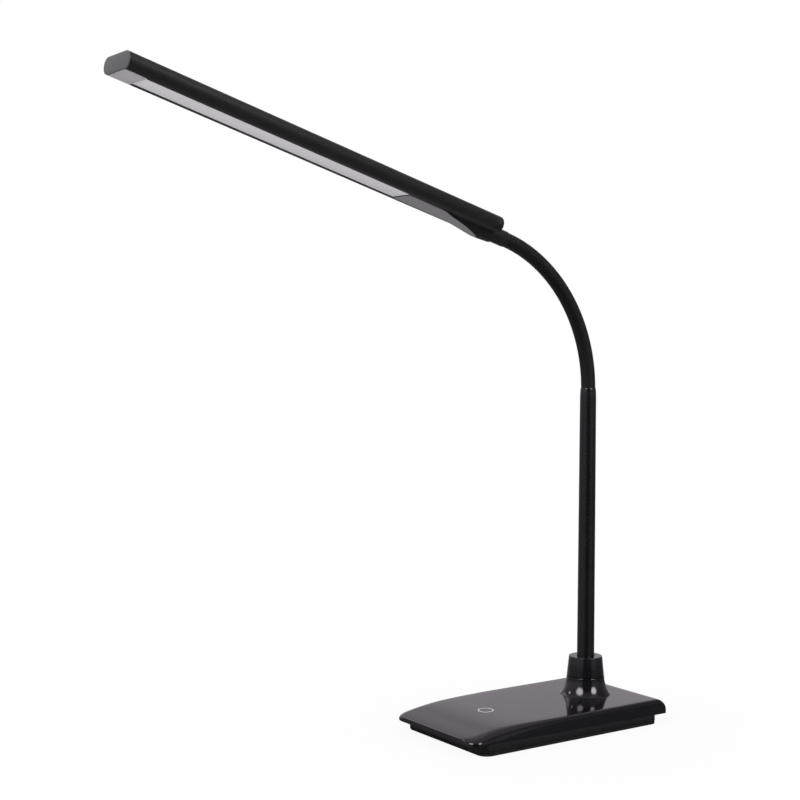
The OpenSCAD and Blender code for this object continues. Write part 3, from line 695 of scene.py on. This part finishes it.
def build_tray():
    """The lower shell: body, rib, hollow, board posts, screw holes and the inlet's notch."""
    body = slab("base_tray_shell", TRAY_W, -TRAY_HALF, TRAY_HALF, TRAY_FRONT_R, TRAY_BACK_R, PAD_T,
                COVER_EDGE, TRAY_SOFT, steps=3, lift=seam_lift)
    rib_w = COVER_W - 2 * (COVER_WALL + RIB_GAP)
    outline = rounded(rib_w, COVER_FRONT + RIB_INSET, COVER_BACK - RIB_INSET, RIB_FRONT_R, RIB_BACK_R)
    rib = loft("rib", [[(x, y, seam_z(y) + rise) for x, y in outline] for rise in (-RIB_SINK, RIB_RISE)])
    combine(body, "UNION", [rib])
    inner = TRAY_HALF - TRAY_WALL
    inner_r = TRAY_FRONT_R - TRAY_WALL
    high = 2 * COVER_EDGE
    cuts = [
        slab("cut", TRAY_W - 2 * TRAY_WALL, -inner, inner, inner_r, HOLLOW_BACK_R, FLOOR_Z, high,
             HOLLOW_SOFT, steps=1),
        block("cut", (-JACK_HALF, inner - OVERLAP, COVER_EDGE - NOTCH_SINK),
              (JACK_HALF, inner + NOTCH_OUT, COVER_EDGE + NOTCH_RISE)),
    ]
    cuts += [rod("cut", (x, y, 0), (x, y, high), SCREW_HOLE_R, segments=32) for x, y in SCREWS_AT]
    combine(body, "DIFFERENCE", cuts)
    foot = FLOOR_Z - BOARD_POST_ROOT
    return join(body, [hollow_post(x, y, BOARD_POST_BORE, BOARD_POST_R, foot, BOARD_Z)
                       for x in (-BOARD_X, BOARD_X) for y in BOARD_YS])


finish_piece(build_tray(), "tray_black", "base", ["base_tray"])


def build_pad():
    """The foot pad, a little inside the tray's edge, with its screw holes."""
    half = TRAY_HALF - PAD_INSET
    pad = slab("foot_pad_sheet", TRAY_W - 2 * PAD_INSET, -half, half, TRAY_FRONT_R - PAD_INSET,
               TRAY_BACK_R - PAD_INSET, 0, PAD_T, PAD_SOFT, steps=5)
    cuts = [rod("cut", (x, y, -OVERLAP), (x, y, PAD_T + OVERLAP), PAD_HOLE_R, segments=48)
            for x, y in SCREWS_AT]
    return combine(pad, "DIFFERENCE", cuts)


finish_piece(build_pad(), "pad_foam", "base", ["foot_pad"])


# ---------------------------------------------------------------- post
def build_socket(steps=28):
    """The flared foot: one hollow arc, a thin soft rim below and a soft shoulder above."""
    rise = SOCKET_Z - COVER_TOP
    reach = FLARE_R - FLARE_NECK
    arc_r = (rise ** 2 + reach ** 2) / (2 * reach)
    start = FLARE_START - rise
    low = math.atan2(start, math.sqrt(arc_r ** 2 - start ** 2))
    bore = NIPPLE_R + PLAY
    outline = [(bore, COVER_TOP), (FLARE_R - FLARE_RIM, COVER_TOP), (FLARE_R, COVER_TOP + FLARE_RIM)]
    for k in range(steps):
        a = low * (1 - k / steps)
        outline.append((FLARE_NECK + arc_r - arc_r * math.cos(a), SOCKET_Z + arc_r * math.sin(a)))
    outline += [(FLARE_NECK - inset, SOCKET_Z - drop) for inset, drop in FLARE_SHOULDER]
    outline.append((bore, SOCKET_Z))
    return lathe("post_socket_flare", outline, (0, POST_Y, 0), segments=160)


finish_piece(build_socket(), "gloss_black", "base", ["post_socket"])


def build_collar():
    """The conical collar with its crisp rim, standing on a narrower foot that leaves a fine groove."""
    foot = SOCKET_Z + COLLAR_GAP
    bore = TUBE_R + PLAY
    under = COLLAR_TOP - COLLAR_WALL
    step_r = COLLAR_R - COLLAR_STEP
    outline = fillet([
        (bore, under), (bore, COLLAR_TOP), (COLLAR_TIP_R, COLLAR_TOP), (COLLAR_R, foot), (step_r, foot),
        (step_r, SOCKET_Z), (COLLAR_R - COLLAR_WALL, SOCKET_Z), (COLLAR_TIP_R - COLLAR_TIP_WALL, under)],
        COLLAR_ROUNDS, steps=4)
    return lathe("post_collar_cone", outline, (0, POST_Y, 0), segments=160)


finish_piece(build_collar(), "collar_grey", "base", ["post_collar"])


def build_tube(steps=10):
    """The post, narrowing softly to its tip."""
    outline = [(TUBE_BORE, SOCKET_Z), (TUBE_R, SOCKET_Z)]
    for k in range(steps + 1):
        a = math.pi / 2 * k / steps
        r = TUBE_RIM_R + (TUBE_TIP_R - TUBE_RIM_R) * math.cos(a)
        outline.append((r, POST_TOP - TUBE_NARROW + TUBE_NARROW * math.sin(a)))
    outline += [(TUBE_EDGE_R, POST_TOP), (TUBE_BORE, POST_TOP)]
    return lathe("post_tube_round", outline, (0, POST_Y, 0), segments=96)


finish_piece(build_tube(), "satin_black", "base", ["post_tube"])


# ---------------------------------------------------------------- gooseneck
def neck_center(a):
    """A point on the neck's middle line at rest, by its angle along the arc."""
    return Vector((0, POST_Y - NECK_R + NECK_R * math.cos(a), ARC_Z + NECK_R * math.sin(a)))


def neck_ring(center, side, r, segments=48):
    """A ring round the neck's middle line; side points away from the arc's centre."""
    out = []
    for k in range(segments):
        a = 2 * math.pi * k / segments
        out.append(center + r * (math.cos(a) * side + math.sin(a) * Vector((1, 0, 0))))
    return out


def bend_span(i):
    """The angles between which the sleeve bends at joint i; forward bends take more of the neck."""
    grow = BEND_SHARE * PITCH if i % 2 else -BEND_SHARE * PITCH
    start = (i - 1) * PITCH - grow if i > 1 else 0.0
    end = i * PITCH + grow if i < JOINTS else NECK_BEND
    return start, end


def build_sleeve(i, steps=10, straight=5):
    """The part of the sleeve that bends at joint i, the last with the straight end in the keel."""
    start, end = bend_span(i)
    start = max(start, SLEEVE_FOOT / NECK_R)
    line = []
    for k in range(steps + 1):
        a = start + (end - start) * k / steps
        line.append((neck_center(a), Vector((0, math.cos(a), math.sin(a)))))
    if i == JOINTS:
        line += [(NECK_END - HEAD_U * (SLEEVE_TIP * k / straight), HEAD_V) for k in range(1, straight + 1)]
    rings = [neck_ring(c, s, SLEEVE_R) for c, s in line]
    rings += [neck_ring(c, s, SLEEVE_R - SLEEVE_WALL) for c, s in reversed(line)]
    return loft("neck_sleeve_bend_%d" % i, rings, loop=True)


for i in range(1, JOINTS + 1):
    sleeve = build_sleeve(i)
    stands_for = ["neck_sleeve_tip" if i == JOINTS else "neck_sleeve_%d" % i]
    if i == 1:
        stands_for.append("neck_sleeve_root")
    finish_piece(sleeve, "neck_rubber", None, stands_for)
    low, high = bend_span(i)
    tuple(neck_center(high) * MM)
    tuple(neck_center(low) * MM)
    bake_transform(sleeve)


# ---------------------------------------------------------------- head
def stadium(height, half=HEAD_W / 2, t=0.0, steps=16):
    """The bar's outline, (x, v), with round sides, counter-clockwise from the bottom right."""
    r = height / 2 - t
    flat = half - height / 2
    out = []
    for side, start in ((1, -90), (-1, 90)):
        for k in range(steps + 1):
            a = math.radians(start + 180 * k / steps)
            out.append((side * flat + r * math.cos(a), height / 2 + r * math.sin(a)))
    return out


def slant_u(u, v):
    """Where a plane u behind the leaning end face stands at height v."""
    return (u - v * math.sin(CAP_SLANT)) / math.cos(CAP_SLANT)


def extrude(name, outline, starts, ends):
    """A prism along the head; starts and ends give u for a height v."""
    return loft(name, [[head_point(x, place(v), v) for x, v in outline] for place in (starts, ends)])


def build_shell():
    """The bar: round sides, open along the underside."""
    half = WINDOW_HALF
    outline = [(half, BAR_SOFT), (half + BAR_SOFT, 0)] + stadium(HEAD_H)
    outline += [(-half - BAR_SOFT, 0), (-half, BAR_SOFT), (-half, BAR_WALL)]
    outline += stadium(HEAD_H, t=BAR_WALL)[::-1] + [(half, BAR_WALL)]
    shell = extrude("head_shell_bar", outline, lambda v: slant_u(CAP_T, v), lambda v: SHELL_END)
    return soften(shell, BAR_SOFT)


finish_piece(build_shell(), "head_black", "head", ["head_shell"])


def build_cap():
    """The plate at the tip, which leans with the bar's end."""
    plate = extrude("front_cap_plate", stadium(HEAD_H), lambda v: slant_u(0, v),
                    lambda v: slant_u(CAP_T, v))
    return soften(plate, CAP_SOFT, segments=3)


finish_piece(build_cap(), "cap_grey", "head", ["front_cap"])


def strip(name, half, v0, v1, u0, u1, soft):
    """A flat strip along the underside of the head."""
    outline = [(-half, v0), (half, v0), (half, v1), (-half, v1)]
    return soften(extrude(name, outline, lambda v: u0, lambda v: u1), soft)


def tee(name, v0, v1, u0, u1):
    """A strip along the underside: a lower part in the slot and a wider one on the ledges above it."""
    narrow = WINDOW_HALF - PLAY
    wide = WINDOW_HALF + LEDGE
    outline = [(-narrow, v0), (narrow, v0), (narrow, BAR_WALL), (wide, BAR_WALL), (wide, v1), (-wide, v1),
               (-wide, BAR_WALL), (-narrow, BAR_WALL)]
    return soften(extrude(name, outline, lambda v: u0, lambda v: u1), BAR_SOFT)


def build_filler():
    """The blank between the tip and the window: a plate on the underside, its root in the slot."""
    start = CAP_T + PLAY
    plate = strip("front_filler_blank", FILLER_HALF, -FILLER_PROUD, 0, start, WINDOW_START, FILLER_SOFT)
    root = tee("root", -PLAY, LEDGE_TOP, start, WINDOW_START - PLAY)
    return join(plate, [root])


finish_piece(build_filler(), "filler_grey", "head", ["front_filler"])
window = tee("diffuser_window", DIFFUSER_SINK, DIFFUSER_TOP, WINDOW_START + WINDOW_GAP,
             WINDOW_END - WINDOW_GAP)
finish_piece(window, "diffuser_white", "head", ["diffuser"])


def facet_half(u):
    """Half the width of the flat that the panel covers, cut into the round keel."""
    return min(PANEL_HALF, arc_h(smooth_value(KEEL_ROUND, u), HEAD_AXIS + smooth_value(KEEL_DEPTH, u)))


def build_panel(across=12):
    """The grey panel under the keel, drawn out to a point at the neck."""
    start = WINDOW_END + PANEL_GAP
    stations = [start + place for place in PANEL_PLACES]
    stations += [TAPER_START + k for k in range(TAPER_STEPS)]
    rings = []
    for u in stations:
        w = facet_half(u) - PANEL_INSET
        if w < PANEL_POINT:
            break
        v = -smooth_value(KEEL_DEPTH, u)
        rim = PANEL_EDGE if u == start else 0.0
        ring = []
        for k in range(across + 1):
            edge = PANEL_EDGE if k in (0, across) else 0.0
            ring.append(head_point(w * (2 * k / across - 1), u, v + edge + rim))
        for k in range(across, -1, -1):
            ring.append(head_point(w * (2 * k / across - 1), u, v + PANEL_T))
        rings.append(ring)
    return loft("under_panel_plate", rings)


finish_piece(build_panel(), "panel_grey", "head", ["under_panel"])


def keel_section(u, steps=24):
    """One cross-section of the keel, (x, v), from the left of its top round below to the right."""
    r = smooth_value(KEEL_ROUND, u)
    depth = smooth_value(KEEL_DEPTH, u) - KEEL_SINK
    turn = math.acos(min(1.0, (HEAD_AXIS + depth) / r))
    turns = [math.pi / 2 + (turn - math.pi / 2) * k / steps for k in range(steps + 1)]
    out = [(-r, KEEL_TOP)]
    out += [(-r * math.sin(a), HEAD_AXIS - r * math.cos(a)) for a in turns]
    out += [(r * math.sin(a), HEAD_AXIS - r * math.cos(a)) for a in reversed(turns)]
    out.append((r, KEEL_TOP))
    return out


def build_housing(steps=6, segments=96):
    """The keel that carries the neck, with its bed, the round boss and the neck's ferrule."""
    half = PANEL_HALF - PLAY
    rings = []
    for k in range(KEEL_STEPS + 1):
        u = KEEL_START + KEEL_STEP * k
        rings.append([head_point(max(-half, min(half, x)), u, v) for x, v in keel_section(u)])
    keel = loft("neck_housing_keel", rings)

    outline = [(BOSS_START + k, smooth_value(KEEL_ROUND, BOSS_START + k)) for k in range(BOSS_STEPS + 1)]
    for k in range(steps + 1):
        a = math.pi / 2 * k / steps
        outline.append((BOSS_END - BOSS_SOFT * (1 - math.sin(a)), BOSS_R - BOSS_SOFT * (1 - math.cos(a))))
    end = HEAD_REACH - PLAY
    outline += [(BOSS_END, FERRULE_R), (end - FERRULE_SOFT, FERRULE_R), (end, FERRULE_R - FERRULE_SOFT)]
    outline += [(end, SLEEVE_R), (SEAT_START, SLEEVE_R)]
    turns = [2 * math.pi * k / segments for k in range(segments)]
    boss = loft("boss", [[head_point(r * math.cos(a), u, HEAD_AXIS + r * math.sin(a)) for a in turns]
                         for u, r in outline])
    plate = strip("plate", half, 0, BAR_WALL * 2, WINDOW_END + PANEL_GAP, PLATE_END, PLATE_SOFT)
    return join(keel, [boss, plate])


finish_piece(build_housing(), "housing_black", "head", ["neck_housing"])


def build_rear(steps=14):
    """The rear end of the bar, rounded in plan and over the top, notched round the neck's boss."""
    start = HEAD_L - REAR_CORNER
    stations = [SHELL_END + REAR_GAP, start]
    stations += [start + REAR_CORNER * math.sin(math.pi / 2 * k / steps) for k in range(1, steps + 1)]
    rings = []
    for u in stations:
        half = HEAD_W / 2 - REAR_CORNER + arc_h(REAR_CORNER, max(0.0, u - start))
        top = HEAD_H - REAR_ROUND + arc_h(REAR_ROUND, max(0.0, u - HEAD_L + REAR_ROUND))
        rings.append([head_point(x, u, v) for x, v in stadium(top, half)])
    cap = loft("rear_cap_end", rings)
    notch = smooth_value(KEEL_ROUND, SHELL_END) + PLAY
    a = head_point(0, SHELL_END - OVERLAP, HEAD_AXIS)
    b = head_point(0, HEAD_L + OVERLAP, HEAD_AXIS)
    combine(cap, "DIFFERENCE", [rod("cut", a, b, notch)])
    return soften(cap, REAR_SOFT)


finish_piece(build_rear(), "head_black", "head", ["rear_cap"])

# ---------------------------------------------------------------- CAD nodes that stay
# the screws, washers and neck links that aren't named here are zinc
KEPT_SLOTS = {
    "counterweight": "cast_iron", "control_board": "circuit_board", "board_parts": "component_black",
    "touch_sensor": "sensor_foam", "dc_jack": "tray_black", "jack_pin": "nickel",
    "jack_lead": "lead_black", "tube_bush": "tray_black", "post_lead": "lead_black",
    "reflector": "reflector_white", "led_board": "board_white", "leds": "led_yellow",
    "head_lead": "lead_black"}
for name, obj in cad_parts.items():
    if not obj.hide_render:
        obj.data.materials.clear()
        obj.data.materials.append(MATERIALS[KEPT_SLOTS.get(name, "zinc")])

# ---------------------------------------------------------------- floor, in metres
GROUND_HALF = 20.0
GROUND_AT = -0.00005
GROUND_COLOR = (0.88, 0.88, 0.88, 1)
GROUND_ROUGH = 0.9
SHADOW_NEAR = 0.09
SHADOW_FAR = 0.32
SHADOW_SHOWS = 0.93


def build_floor():
    """A pale floor that keeps the shadow, is open to glossy rays and can be looked through from below."""
    signs = ((-1, -1), (1, -1), (1, 1), (-1, 1))
    corners = [(x * GROUND_HALF, y * GROUND_HALF, GROUND_AT) for x, y in signs]
    mesh = bpy.data.meshes.new("floor")
    mesh.from_pydata(corners, [], [(0, 1, 2, 3)])
    floor = bpy.data.objects.new("floor", mesh)
    scene.collection.objects.link(floor)
    material = bpy.data.materials.new("floor")
    material.use_nodes = True
    tree = material.node_tree
    matt = tree.nodes["Principled BSDF"]
    matt.inputs["Base Color"].default_value = GROUND_COLOR
    matt.inputs["Roughness"].default_value = GROUND_ROUGH
    matt.inputs["Specular IOR Level"].default_value = 0.0

    place = add_node(tree, "NewGeometry", {}, "Position")
    distance = add_node(tree, "VectorMath", {0: place}, "Value", operation="LENGTH")
    fade = ease_node(tree, distance, SHADOW_NEAR, SHADOW_FAR, SHADOW_SHOWS, 1.0)
    shown = math_node(tree, "MULTIPLY", add_node(tree, "LightPath", {}, "Is Camera Ray"), fade)
    glow = add_node(tree, "Emission", {"Strength": 1.0}, "Emission")
    pale = add_node(tree, "MixShader", {"Fac": shown, 1: matt.outputs["BSDF"], 2: glow}, "Shader")
    mirrored = add_node(tree, "LightPath", {}, "Is Glossy Ray")
    below = add_node(tree, "NewGeometry", {}, "Backfacing")
    clear = add_node(tree, "BsdfTransparent", {}, "BSDF")
    hidden = math_node(tree, "MAXIMUM", mirrored, below)
    seen = add_node(tree, "MixShader", {"Fac": hidden, 1: pale, 2: clear}, "Shader")
    tree.links.new(seen, tree.nodes["Material Output"].inputs["Surface"])
    floor.data.materials.append(material)


build_floor()

# ---------------------------------------------------------------- room and lamps
# turns go round from the camera's side of the room, in degrees; the levels are brightness
CAMERA_TURN = math.radians(-34.5)
ROOM_LEVELS = (
    (-180, 0.7), (-175, 0.76), (-152, 0.72), (-132, 0.42), (-108, 0.5), (-60, 0.6), (-27, 0.55),
    (-20, 0.06), (29, 0.06), (36, 0.5), (60, 0.5), (78, 0.26), (134, 0.24), (152, 0.78), (166, 0.78),
    (174, 0.65), (180, 0.7))
GAP_LEVEL = 0.08
MATT_LEVEL = 0.5
ROOM_TINT = (1.03, 0.965, 1.04)

# where the room changes with height, as the sine of the angle above the horizon, and to what
UP = (0, 0, 1)
HIGH_SPAN = (0.25, 0.7)
HIGH_LEVEL = 0.5
BELOW_SPAN = (-0.12, 0.06)
BELOW_LEVEL = 0.45
CEILING_SPAN = (0.56, 0.86)
CEILING_LEVEL = 0.4

# soft bright spots in the room: turn, height and reach in degrees, and brightness
HOT_SPOTS = (
    (-40, 38, 21, 9.5), (42, 31, 18, 11.0), (-101, 33, 6, 6.5), (-138, 36, 18, 1.6), (-174, 38, 16, 0.38))


def direction_at(turn, rise):
    """A direction by its turn from the camera's side and its height, in degrees."""
    a = math.radians(turn) + CAMERA_TURN
    e = math.radians(rise)
    return (math.cos(e) * math.cos(a), math.cos(e) * math.sin(a), math.sin(e))


def room_level(tree, sky):
    """How bright the room is all round, by its turn from the camera's side."""
    turned = add_node(tree, "VectorRotate", {"Vector": sky, "Angle": -CAMERA_TURN}, "Vector",
                      rotation_type="Z_AXIS")
    x = add_node(tree, "SeparateXYZ", {"Vector": turned}, "X")
    y = add_node(tree, "SeparateXYZ", {"Vector": turned}, "Y")
    angle = math_node(tree, "ARCTAN2", y, x)
    turn_range = {"Value": angle, "From Min": -math.pi, "From Max": math.pi}
    place = add_node(tree, "MapRange", turn_range, "Result")
    level = add_node(tree, "ValToRGB", {"Fac": place}, "Color")
    stops = level.node.color_ramp.elements
    for turn, _ in ROOM_LEVELS[1:-1]:
        stops.new((turn + 180) / 360)
    for stop, (turn, brightness) in zip(stops, ROOM_LEVELS):
        stop.position = (turn + 180) / 360
        stop.color = (brightness, brightness, brightness, 1)
    return level


def build_world():
    """White behind the lamp, grey for matt surfaces, and pale boxes with a dark gap for glossy ones."""
    world = bpy.data.worlds.new("studio")
    scene.world = world
    world.use_nodes = True
    tree = world.node_tree
    background = tree.nodes["Background"]
    background.inputs["Strength"].default_value = 1.0
    sky = add_node(tree, "TexCoord", {}, "Generated")

    def spread(direction, start, end, low, high):
        """A smooth change from low to high as the cosine to a direction goes from start to end."""
        facing = add_node(tree, "VectorMath", {0: sky, 1: direction}, "Value", operation="DOT_PRODUCT")
        return ease_node(tree, facing, start, end, low, high)

    level = room_level(tree, sky)
    room = math_node(tree, "MULTIPLY", level, spread(UP, *HIGH_SPAN, 1.0, HIGH_LEVEL))
    room = math_node(tree, "MULTIPLY", room, spread(UP, *BELOW_SPAN, BELOW_LEVEL, 1.0))
    glow = 0.0
    for turn, rise, reach, strength in HOT_SPOTS:
        spot = spread(direction_at(turn, rise), math.cos(math.radians(reach)), 1.0, 0.0, strength)
        glow = math_node(tree, "ADD", glow, spot)
    beside_gap = math_node(tree, "GREATER_THAN", level, GAP_LEVEL)
    room = math_node(tree, "ADD", room, math_node(tree, "MULTIPLY", glow, beside_gap))
    room = math_node(tree, "ADD", room, spread(UP, *CEILING_SPAN, 0.0, CEILING_LEVEL))

    tinted = add_node(tree, "VectorMath", {0: ROOM_TINT, "Scale": room}, "Vector", operation="SCALE")
    mirrored = add_node(tree, "LightPath", {}, "Is Glossy Ray")
    light = color_mix(tree, mirrored, (MATT_LEVEL, MATT_LEVEL, MATT_LEVEL, 1), tinted)
    from_camera = add_node(tree, "LightPath", {}, "Is Camera Ray")
    passed_through = add_node(tree, "LightPath", {}, "Is Transmission Ray")
    direct = math_node(tree, "MAXIMUM", from_camera, passed_through)
    tree.links.new(color_mix(tree, direct, light, (1, 1, 1, 1)), background.inputs["Color"])


build_world()


def lamp(name, at, size, power, toward=(0, 0, 0.2)):
    """A large soft square light, in metres and watts, that isn't seen in glossy surfaces."""
    data = bpy.data.lights.new(name, "AREA")
    data.shape = "SQUARE"
    data.size = size
    data.energy = power
    obj = bpy.data.objects.new(name, data)
    scene.collection.objects.link(obj)
    obj.location = at
    obj.rotation_mode = "QUATERNION"
    obj.rotation_quaternion = (Vector(toward) - Vector(at)).to_track_quat("-Z", "Y")
    obj.visible_glossy = False


lamp("key", (-0.4, -1.5, 2.2), 1.6, 28)
lamp("fill", (1.8, 0.9, 1.5), 1.2, 14)

# ---------------------------------------------------------------- camera, at the photo's angle
CAMERA_AT = Vector((0.857, -0.71192, 0.29607))
AZIMUTH = math.radians(55.484)
PITCH_DOWN = math.radians(2.528)
ROLL = math.radians(0.24)
LENS = 66.52
SENSOR = 36.0


def build_camera():
    """The camera, from its place, its turn, how far it looks down and how far it leans."""
    along = math.cos(PITCH_DOWN)
    look = Vector((-math.sin(AZIMUTH) * along, math.cos(AZIMUTH) * along, -math.sin(PITCH_DOWN)))
    right = Vector((math.cos(AZIMUTH), math.sin(AZIMUTH), 0))
    up = right.cross(look)
    right_rolled = math.cos(ROLL) * right + math.sin(ROLL) * up
    up_rolled = math.cos(ROLL) * up - math.sin(ROLL) * right
    data = bpy.data.cameras.new("camera")
    data.lens = LENS
    data.sensor_width = SENSOR
    camera = bpy.data.objects.new("camera", data)
    scene.collection.objects.link(camera)
    turn = Matrix((right_rolled, up_rolled, -look)).transposed()
    camera.matrix_world = Matrix.Translation(CAMERA_AT) @ turn.to_4x4()
    scene.camera = camera


build_camera()
scene.view_settings.view_transform = "Standard"
